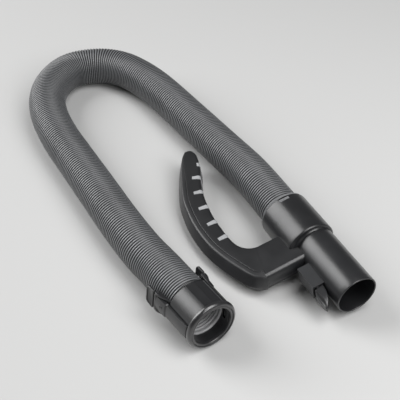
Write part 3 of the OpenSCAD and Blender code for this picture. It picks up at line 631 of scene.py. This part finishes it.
# sleeve: a profile turned round its own axis, except the nose's bore, which is turned round the tube's, with
# a window through its wall above and below
def sleeveShell():
    radius, bore, noseBore, nose = (sleeve[key] for key in ("radius", "bore", "noseBore", "nose"))
    start, end, window, endRound = (sleeve[key] for key in ("start", "end", "window", "endRound"))
    halfWindow = np.degrees(np.arcsin(sleeve["windowHalf"] / radius))
    keys = [0, 90 - halfWindow, 90 + halfWindow, 270 - halfWindow, 270 + halfWindow, 360]
    counts = [20, 7, 40, 7, 20]
    outer = np.vstack([arc(start + nose, radius - nose, nose, 180, 90, 9),
                       [[x, radius] for x in (76, 84, 92, 100, 108, window, 119, end - endRound)],
                       arc(end - endRound, radius - endRound, endRound, 90, 0, 6)[1:]])
    inner = [[end, bore + 0.3], *([x, bore] for x in (119.6, 119, window, 100, 78))]
    tubeBore = [[78, noseBore], [69.7, noseBore],
                [69.45, 20.75], [69.6, 21.1], [70.1, 21.5], [70.7, 22.1], [start, 22.6]]
    profile = np.vstack([outer, inner, tubeBore])
    weight = np.concatenate([np.ones(len(outer) + len(inner)), [0, 0, 0, 0.1, 0.35, 0.7, 0.9]])
    grid = turned(profile, np.radians(spacedAngles(keys, counts)), sleeve["offset"] * weight[:, None])
    return windowedShell(grid, counts, (1, 3), outer, window, 2)


bodyShell = joined([gripHalf(1), sleeveShell()])
makePiece("handleBody", onHandle, bodyShell, "handle_body", "shellPlastic", merge=2e-6, sharp=50)
lowShell = gripHalf(-1)
makePiece("gripUnderside", onHandle, lowShell, "grip_underside", "armPlastic", merge=2e-6, sharp=50)
print("handle body and underside made")

# spine: a half-round section at the arm changes over three points of the ridge to a small round edge and a slanting
# side that turns under; its flaps lie on the shells' edges, and its tip is a rounded nose

spine = {
    "bulge": [5, 5.8, 6.8, 7.4, 7.7, 7.8, 7.7, 7.4, 7.1, 6.8, 6.2, 5.7, 5.0, 4.2, 3.4, 2.6],
    "sideOut": [-0.133, -0.067, -0.001, 0.06, 0.117, 0.168, 0.207, 0.387, 0.573, 0.747, 0.88, 0.965, 1],
    "sideZ": [1, 0.996, 0.985, 0.967, 0.942, 0.911, 0.879, 0.686, 0.486, 0.3, 0.152, 0.059, 0],
    "endProud": 0.35, "endLength": 0.4, "endDrawnIn": [0.9, 0.9, 0.93], "nose": 2.6,
}
spineAt = np.arange(len(ridgeFine)) / fineSteps
bulge = np.interp(spineAt, np.arange(len(ridge)), spine["bulge"])
half = grip["half"]
quarter = np.linspace(np.pi / 2, 0, len(spine["sideOut"]))
change = np.clip(spineAt / 3, 0, 1)[:, None]
change = change * change * (3 - 2 * change)
halfOut = np.cos(quarter) + change * (spine["sideOut"] - np.cos(quarter))
halfZ = np.sin(quarter) + change * (spine["sideZ"] - np.sin(quarter))
flap = -stripAt(ridgeFine[:, 0])[:, None] * (1 - np.array([[0, 0.03, 0.09, 0.35, 0.6]]))
flapZ = np.ones((len(spineAt), 1)) * [0, half - 0.3, half, half, half]
wall = bulge[:, None] * halfOut
outwards = np.concatenate([flap, wall, wall[:, -2::-1], flap[:, ::-1]], 1)
spineZ = np.concatenate([flapZ, half * halfZ, -half * halfZ[:, -2::-1], -flapZ[:, ::-1]], 1)
proud = spine["endProud"] * np.clip(1 - spineAt / 2, 0, 1)[:, None]
outwards += proud * (outwards > 0)
spineZ += proud * np.sign(spineZ)
spineXY = ridgeFine[:, None] - outwards[..., None] * ridgeIn[:, None]
spineGrid = np.concatenate([spineXY, spineZ[..., None]], -1)
endMiddle = np.array([*(ridgeFine[0] - ridgeIn[0]), 0])
endRow = endMiddle + (spineGrid[:1] - endMiddle) * np.array(spine["endDrawnIn"])
spineGrid[0] += spine["endLength"] * np.array([*ridgeWay[0], 0])
nose = sweep(0, 90, 7)[1:, None, None]
tipMiddle = np.array([*(ridgeFine[-1] - ridgeIn[-1] * (bulge[-1] / 2)), 0])
tipWay = np.array([*ridgeWay[-1], 0])
noseRows = tipMiddle + (spineGrid[-1] - tipMiddle) * np.cos(nose) + tipWay * spine["nose"] * np.sin(nose)
spineGrid = np.concatenate([endRow, spineGrid, noseRows])
rows, columns = spineGrid.shape[:2]
spineFaces = gridFaces(rows, columns, closed=True).tolist() + [list(range(columns))[::-1]]
spineShell = spineGrid.reshape(-1, 3), spineFaces
makePiece("gripSpine", onHandle, spineShell, "grip_spine", "softGrip", sharp=50)
print("spine made")

# finger bars: a low rounded section carried over the grip's face, round its inner edge and back underneath

fingerBar = {
    "first": 50, "pitch": 22, "closing": 0.045, "reach": [9.7, 9.8, 9.7, 9.0, 8.4, 2.8],
    "width": 5.8, "farWidth": 4.6, "rise": 0.75, "sideRise": 0.35, "sink": 0.6, "depth": 1.2,
}
order = np.arange(len(fingerBar["reach"]))
barSteps = order - fingerBar["closing"] * np.maximum(0, order - 2) ** 2
barX = sleeve["start"] + fingerBar["first"] + fingerBar["pitch"] * barSteps
edgeX, edgeY = innerFine.T
lowerEdge = innerFine[(edgeY > 38) & (edgeX > sleeve["start"] + 36) & (edgeX < sleeve["start"] + 168)][::-1]
barY, ahead, behind = (np.interp(barX + step, lowerEdge[:, 0], lowerEdge[:, 1]) for step in (0, 2, -2))
barAngle = np.arctan2(ahead - behind, 4)


# at share v along the bar's path and u across it, the height over the grip is rise(v) (1 - |u|^6) - sink |u|^6
def barShell(x, y, angle, reach):
    half, crown, edge = grip["half"], grip["crown"], grip["edgeRound"]
    t = sweep(90, 0, 7)
    faceIn = np.concatenate([[reach + 0.5], np.linspace(reach, edge, 7)])
    faceZ = half - crown * np.clip(1 - faceIn / 30, 0, 1) ** 2
    cornerIn, cornerZ = edge * (1 - np.cos(t)), faceZ[-1] - edge * (1 - np.sin(t))
    upper = np.vstack([np.column_stack([faceIn, faceZ]), np.column_stack([cornerIn, cornerZ])[1:]])
    path = np.vstack([upper, upper[::-1] * [1, -1]])
    out = np.vstack([np.tile([0.0, 1.0], (8, 1)), np.column_stack([-np.cos(t), np.sin(t)])[1:]])
    out = np.vstack([out, out[::-1] * [1, -1]])
    onFace = np.clip(path[:, 0] / edge, 0, 1)
    rise = fingerBar["sideRise"] + (fingerBar["rise"] - fingerBar["sideRise"]) * onFace
    rise[[0, -1]] = -0.5
    u = np.linspace(-1, 1, 11)
    bulk = 1 - np.abs(u) ** 6
    top = rise[:, None] * bulk - fingerBar["sink"] * (1 - bulk)
    widths = [fingerBar["width"], fingerBar["farWidth"]]
    wide = np.interp(path[:, 0], [edge, max(reach, edge + 1)], widths)[:, None]
    across = np.concatenate([u, u[::-1]]) * wide / 2
    height = np.concatenate([top, np.full_like(top, -fingerBar["depth"])], 1)
    inwards = path[:, :1] + height * out[:, :1]
    z = path[:, 1:] + height * out[:, 1:]
    return capped(np.stack([x + across * np.cos(angle) - inwards * np.sin(angle),
                            y + across * np.sin(angle) + inwards * np.cos(angle), z], -1))


barShells = joined([barShell(*values) for values in zip(barX, barY, barAngle, fingerBar["reach"])])
makePiece("fingerBars", onHandle, barShells, "finger_bars", "barPlastic")
print("finger bars made:", len(barX))

# collar in the sleeve's end: a turned profile with a double bead on its flange, and two snap tabs

collar = {
    "radius": 23.1, "flange": 24.62, "bead": 0.55, "start": 94, "bore": 21.25, "lipBore": 17.6,
    "tabX": [115.25, 118.35], "tabY": [-2.7, 7.9], "tabTop": 24.95, "lowTabTop": 24.7,
}
start, bead, lipBore = collar["start"], collar["bead"], collar["lipBore"]
collarProfile = np.vstack([
    [[start, lipBore], [start, 22.7], [start + 0.4, collar["radius"]], [120.1, collar["radius"]]],
    arc(120.7, collar["flange"] - 0.5, bead, 180, 0, 8), [[121.32, 23.3]],
    arc(121.95, collar["flange"] - 0.7, bead, 170, 0, 8),
    [[122.5, 22], [122.2, 21.6], [121.7, 21.3], [start + 2, collar["bore"]], [start + 2, lipBore]],
])
snapOutline = roundBox(collar["tabX"], collar["tabY"], 0.4)
topTab, lowTab = (slab(snapOutline, 22, collar[key], 0.35) for key in ("tabTop", "lowTabTop"))
collarRing = ringShell(turned(collarProfile, evenAngles(96), sleeve["offset"]))
collarShell = joined([collarRing, topTab, placed(lowTab, signs=(1, 1, -1))])
makePiece("hoseCollar", onHandle, collarShell, "hose_collar", "innerPlastic")

# wand catch: a toe, a lever with a tail, and a hub round the pin

# the toe's sections from its root to its tip; the cove is the hollow of its outer corners
toe = {
    "x": [23.5, 22.6, 20, 16, 12, 9, 6.5, 4.4, 2.9, 2.0, 1.6],
    "inner": [21.3, 21.15, 21.4, 22.0, 23.2, 24.6, 26.0, 27.6, 29.0, 30.0, 30.5],
    "outer": [29.6, 30.2, 31.1, 31.8, 32.0, 32.0, 31.9, 31.7, 31.5, 31.2, 30.9],
    "half": [6.6, 7, 7, 7, 6.9, 6.6, 6.1, 5.4, 4.4, 3.4, 2.6],
    "coveY": [0.5, 0.9, 1.8, 2.8, 3.3, 3.5, 3.2, 2.4, 1.4, 0.6, 0.2],
    "coveZ": [0.5, 0.9, 2.0, 3.2, 3.8, 3.9, 3.6, 3.0, 2.2, 1.4, 0.9],
}
# the hub has x, y and radius
catch = {
    "toeEdge": 0.6, "toeLean": 0.19, "leverX": [21.5, 45.2], "leverY": [24.55, 27.5], "half": 6.1,
    "hub": [34, 26, 2.9],
}


# a section of two sides, a top and a hollowed outer corner, carried towards the tip; its back leans away from the
# housing, so that it clears the housing's edge when the toe swings out
def toeShell():
    fine = np.linspace(0, len(toe["x"]) - 1, 31)
    x, inner, outer, half, coveY, coveZ = (
        np.interp(fine, np.arange(len(values)), values)[:, None] for values in toe.values())
    t = sweep(0, 90, 6)[None, :]
    e = np.minimum(catch["toeEdge"], 0.3 * (outer - inner))
    cornerY, cornerZ = inner + e - e * np.cos(t), half - e + e * np.sin(t)
    topY = inner + e + (outer - coveY - inner - e) * np.linspace(0, 1, 4)[None, 1:-1]
    hollowY, hollowZ = outer - coveY * np.cos(t), half - coveZ * np.sin(t)
    halfY = np.concatenate([inner, inner, cornerY, topY, hollowY, outer], 1)
    halfZ = np.concatenate([0 * e, 0.5 * half, cornerZ, half + 0 * topY, hollowZ, 0.5 * (half - coveZ)], 1)
    y = np.concatenate([halfY, outer, halfY[:, :0:-1]], 1)
    z = np.concatenate([halfZ, 0 * e, -halfZ[:, :0:-1]], 1)
    lean = catch["toeLean"] * np.clip((x - 16) / 7.5, 0, 1)
    return capped(np.stack([x - lean * (y - inner), y, z], -1))


lever, hub = (slab(outline, -catch["half"], catch["half"]) for outline in (
    roundBox(catch["leverX"], catch["leverY"], 0.5), circleOutline(*catch["hub"])))
makePiece("wandCatch", onHandle, joined([toeShell(), lever, hub]), "wand_catch", "shellPlastic",
          body="wand_catch", sharp=44)

# catch spring: a round wire along a helix on the housing's floor, with flat ends, pressed down by the lever's tail

catchSpring = {"x": 41.5, "floor": 21.52, "top": 24.46, "radius": 2.0, "wire": 0.3, "turns": 2.6, "kept": 0.6}
along = np.linspace(0, 1, 140)
rise = np.clip((along - 0.16) / 0.68, 0, 1)
coilTurn = 2 * np.pi * catchSpring["turns"] * along
lowCoil, highCoil = catchSpring["floor"] + catchSpring["wire"], catchSpring["top"] - catchSpring["wire"]
coilOut = np.stack([np.cos(coilTurn), 0 * coilTurn, np.sin(coilTurn)], -1)
coilLine = catchSpring["radius"] * coilOut
coilLine += np.column_stack([0 * rise + catchSpring["x"], lowCoil + (highCoil - lowCoil) * rise, 0 * rise])
coilUp = np.cross(unit(np.gradient(coilLine, axis=0)), coilOut)
wireTurn = evenAngles(10)[None, :, None]
wireRound = coilOut[:, None] * np.cos(wireTurn) + coilUp[:, None] * np.sin(wireTurn)
wireShell = capped(coilLine[:, None] + catchSpring["wire"] * wireRound)
springPiece = makePiece("catchSpring", onHandle, wireShell, "catch_spring", "springSteel")
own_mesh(springPiece)
print("collar, wand catch and its spring made")

# cuff body: a profile turned round its axis, its radius cut to r cos(half) / cos(angle - middle) over each flat,
# with a low bead between the two dark flats, windows for the hooks, and two ears for each latch's pin

cuff = {
    "radius": 23.5, "hoseBore": 21.2, "mouth": 19, "hoseStop": 25, "end": 35.5,
    "flats": [[-18, 2], [2, 30], [30, 38], [156, 180], [180, 204]], "beadAt": 30, "bead": 0.45, "beadHalf": 1.1,
    "window": [26.5, 31], "windowHalf": 6, "ringRound": 0.85, "grooveDepth": 1.6,
    "ear": [[-15.85, 22.4], [-15.85, 27.15], [-10.6, 27.15], [3, 21.6], [3, 18.6], [0.3, 18.6], [0.3, 20.8]],
    "earRounding": [2.3, 2.3, 2.4, 0.9, 0.3, 0.3, 0.4], "earZ": [8, 10.2], "earEdge": 0.65,
}


def cuffShell():
    r, mouth, hoseBore, end, hoseStop = (cuff[key] for key in ("radius", "mouth", "hoseBore", "end", "hoseStop"))
    groove, (window, windowEnd) = r - cuff["grooveDepth"], cuff["window"]
    beadAt, beadHalf = cuff["beadAt"], cuff["beadHalf"]
    halfWindow = np.degrees(np.arcsin(cuff["windowHalf"] / r))
    keys = [-18, 2, beadAt - beadHalf, beadAt, beadAt + beadHalf, 38, 90 - halfWindow, 90 + halfWindow, 156, 180, 204,
            270 - halfWindow, 270 + halfWindow, 342]
    counts = [6, 9, 1, 1, 3, 11, 8, 14, 7, 7, 14, 8, 17]
    degrees = spacedAngles(keys, counts)
    a = np.radians(degrees)
    cut = 0 * a
    for first, last in cuff["flats"]:
        middle, half = np.radians((first + last) / 2), np.radians((last - first) / 2)
        on = (degrees >= first) & (degrees <= last)
        cut = np.where(on, r * (1 - np.cos(half) / np.cos(a - middle)), cut)
    cut = np.where(degrees == beadAt, -cuff["bead"], cut)
    outer = np.vstack([
        [[0, 21.9]], arc(0.65, r - 1.0, cuff["ringRound"], 190, -10, 11),
        [[1.6, groove], [1.95, groove], [2.05, r - 0.75]], arc(2.65, r - 0.6, 0.6, 180, 90, 5),
        [[x, r] for x in (4, 9, 15, 21, window, windowEnd, 33, end)],
    ])
    inner = np.array([*([x, mouth] for x in (end, windowEnd, window, hoseStop)),
                      [hoseStop, hoseBore], [0.4, hoseBore], [0, hoseBore + 0.3]])
    profile = np.vstack([outer, inner])
    cutShare = np.clip((profile[:, 0] - 2.1) / 0.5, 0, 1) * (np.arange(len(profile)) < len(outer))
    radius = profile[:, 1:] - cutShare[:, None] * cut[None, :]
    grid = np.stack([profile[:, :1] + 0 * radius, radius * np.sin(a), radius * np.cos(a)], -1)
    return windowedShell(grid, counts, (6, 11), outer, window, 1)


ear = slab(roundOutline(cuff["ear"], cuff["earRounding"], 7), *cuff["earZ"], cuff["earEdge"], 6)
ears = [placed(ear, signs=(1, side, top)) for side in (1, -1) for top in (1, -1)]
makePiece("cuffBody", onCuff, joined([cuffShell(), *ears]), "cuff_body", "shellPlastic", sharp=8)

# soft rim: a raised round band, a step down to its ledge, and a lip into the mouth

rim = {
    "back": 35.5, "bore": 19.3, "ledge": 23.56, "bandX": 34.9, "bandRadius": 22.15, "bandRound": 3.06,
    "lipX": 36.65, "lipRadius": 20.2, "lipRound": 0.9, "sides": 112,
}
rimProfile = np.vstack([
    [[rim["back"], rim["bore"]], [rim["back"], rim["ledge"]], [33.1, rim["ledge"]]],
    arc(33.8, 24.5, 0.68, 180, 90, 5), [[34.4, 25.2]],
    arc(rim["bandX"], rim["bandRadius"], rim["bandRound"], 88, 6, 13),
    [[37.75, 22.1], [37.1, 21.95], [36.95, 21.6], [37.2, 21.4], [37.4, 21.1]],
    arc(rim["lipX"], rim["lipRadius"], rim["lipRound"], 20, -90, 8),
])
rimShell = ringShell(turned(rimProfile, evenAngles(rim["sides"])))
makePiece("mouthRim", onCuff, rimShell, "mouth_rim", "softRim")
print("cuff and rim made")

# latches: an arm bent round the cuff, a barrel with x, y and radius, a finger tab with a neck, a hook and a boss

latch = {
    "inner": 23.8, "edge": 0.65, "start": -15.2, "end": 32.6, "x": [-16, -6, 1.0, 2.2, 20, 33],
    "thickness": [3.7, 3.6, 3.1, 2.2, 2.1, 1.5], "half": [7.7, 7.7, 7.7, 7.25, 7.2, 7.2],
    "barrel": [-13.5, 24.8, 2.78], "barrelHalf": 7.7,
    "tabX": [-27.5, -16.3], "tabY": [25.25, 27.75], "tabZ": [-10, 10], "tabRounding": [4.6, 1.2, 1.2, 4.6],
    "tabEdge": 0.85, "tabRecess": [[1.35, 0], [1.6, 0.8], [2.1, 1.0]],
    "neckX": [-18, -13.6], "neckY": [25.0, 26.3], "neckZ": [-7.2, 7.2],
    "hookX": [27.5, 30], "hookY": [19.4, 24.5], "hookZ": [-5, 5],
    "boss": [-4.2, 1.2],
    "bossProfile": [[26.6, 1.1], [27.45, 1.15], [27.62, 1.4], [27.62, 1.9], [27.4, 2.2], [26.6, 2.3]],
}


# a point of the arm's section at width share w and thickness share h lies at z = half w and
# y = sqrt((inner + thickness h)^2 - z^2)
def latchShells():
    e = latch["edge"]
    t = sweep(0, 90, 5)
    wide, thick = latch["barrelHalf"], 2.2
    w = np.concatenate([np.linspace(-1 + e / wide, 1 - e / wide, 9), 1 - (1 - np.sin(t)) * e / wide])
    h = np.concatenate([np.zeros(9), (1 - np.cos(t)) * e / thick])
    w, h = np.concatenate([w, -w]), np.concatenate([h, 1 - h])
    x = np.concatenate([latch["start"] + e * (1 - np.sin(t[::-1])), np.linspace(-12, 0.2, 8),
                        np.linspace(0.8, 2.6, 7), np.linspace(4, 31, 14), latch["end"] - e * (1 - np.sin(t))])
    inset = np.concatenate([e * (1 - np.cos(t[::-1])), np.zeros(29), e * (1 - np.cos(t))])[:, None]
    half = np.interp(x, latch["x"], latch["half"])[:, None] - inset
    thickness = np.interp(x, latch["x"], latch["thickness"])[:, None] - 2 * inset
    z = half * w
    y = np.sqrt((latch["inner"] + inset + thickness * h) ** 2 - z ** 2)
    arm = capped(np.stack([x[:, None] + 0 * z, y, z], -1))
    tabOutline = roundBox(latch["tabX"], latch["tabZ"], latch["tabRounding"], 8)
    tab, neck, hook = (placed(shell, order=(0, 2, 1)) for shell in (
        slab(tabOutline, *latch["tabY"], latch["tabEdge"], 7, recess=latch["tabRecess"]),
        slab(roundBox(latch["neckX"], latch["neckZ"], 0.4), *latch["neckY"], 0.3),
        slab(roundBox(latch["hookX"], latch["hookZ"], 0.5), *latch["hookY"])))
    barrel = slab(circleOutline(*latch["barrel"]), -latch["barrelHalf"], latch["barrelHalf"])
    ring = np.array(latch["bossProfile"])
    a = evenAngles(28)
    (bossX, bossZ), radius = latch["boss"], ring[:, 1:]
    boss = ringShell(np.stack([bossX + radius * np.cos(a), ring[:, :1] + 0 * a, bossZ + radius * np.sin(a)], -1))
    return joined([arm, tab, neck, barrel, hook, boss])


for name, node, side in (("latchLeft", "latch_left", -1), ("latchRight", "latch_right", 1)):
    mirrored = placed(latchShells(), signs=(1, side, 1))
    makePiece(name, onCuff, mirrored, node, "shellPlastic", body=node, sharp=42)
print("latches made")

# catch housing: the CAD's shape with rounded edges

housing = {"edge": 0.0013, "segments": 5}
roundedCopy("catchHousing", "catch_housing", "housingPlastic", housing["edge"], housing["segments"])

# small pieces that keep the CAD's shape

smallPieces = {
    "latch_pin_left": "pinSteel", "latch_pin_right": "pinSteel", "catch_pin": "pinSteel",
    "latch_spring_left": "springSteel", "latch_spring_right": "springSteel",
    "grip_screws": "screwSteel", "collar_seal": "sealRubber",
}
for node, finish in smallPieces.items():
    nodes[node].data.materials.clear()
    nodes[node].data.materials.append(finishes[finish])
print("small pieces made")

# floor, background and lamps; a lamp has a place, a target, a size in metres and a power in watts

studio = {
    "floor": (0.54, 0.54, 0.536), "floorRoughness": 0.9, "floorHalf": 4,
    "world": 0.12, "seen": 0.62, "background": (0.90, 0.905, 0.91),
    "lamps": {
        "leftBox": [(-1.80, 0.764, 1.12), (-0.05, 0.08, 0.02), (1.33, 2.26), 56],
        "topBox": [(0.40, -0.17, 1.26), (-0.02, 0.02, 0), (0.75, 0.95), 11.5],
        "frontBox": [(0.70, -0.69, 0.86), (0, -0.05, 0.02), (0.9, 0.5), 7.2],
    },
}
floorMesh = bpy.data.meshes.new("floor")
far = studio["floorHalf"]
floorMesh.from_pydata([(-far, -far, 0), (far, -far, 0), (far, far, 0), (-far, far, 0)], [], [(0, 1, 2, 3)])
floor = bpy.data.objects.new("floor", floorMesh)
bpy.context.scene.collection.objects.link(floor)
floorMaterial, floorTree, floorShader = newMaterial("paleFloor")
setInputs(floorTree, floorShader, {"Base Color": studio["floor"], "Roughness": studio["floorRoughness"]})
floorMesh.materials.append(floorMaterial)

# the camera sees a pale background that is brighter than the light it gives
world = bpy.data.worlds.new("studio")
bpy.context.scene.world = world
world.use_nodes = True
tree = world.node_tree
seen = addNode(tree, "LightPath", "Is Camera Ray", {})
strength = addNode(tree, "MapRange", "Result", {"Value": seen, "To Min": studio["world"], "To Max": studio["seen"]})
setInputs(tree, tree.nodes["Background"], {"Color": studio["background"], "Strength": strength})


# a soft rectangular lamp at a place, turned to face a target
def softLamp(name, place, target, size, power):
    data = bpy.data.lights.new(name, "AREA")
    data.shape = "RECTANGLE"
    data.size, data.size_y = size
    data.energy = power
    lamp = bpy.data.objects.new(name, data)
    lamp.location = place
    lamp.visible_camera = False
    way = np.array(target, float) - np.array(place, float)
    tilt, aim = np.arctan2(np.hypot(way[0], way[1]), -way[2]), np.arctan2(way[1], way[0])
    lamp.rotation_euler = (tilt, 0, aim - np.pi / 2)
    bpy.context.scene.collection.objects.link(lamp)


for name, values in studio["lamps"].items():
    softLamp(name, *values)
bpy.context.scene.view_settings.view_transform = "Standard"
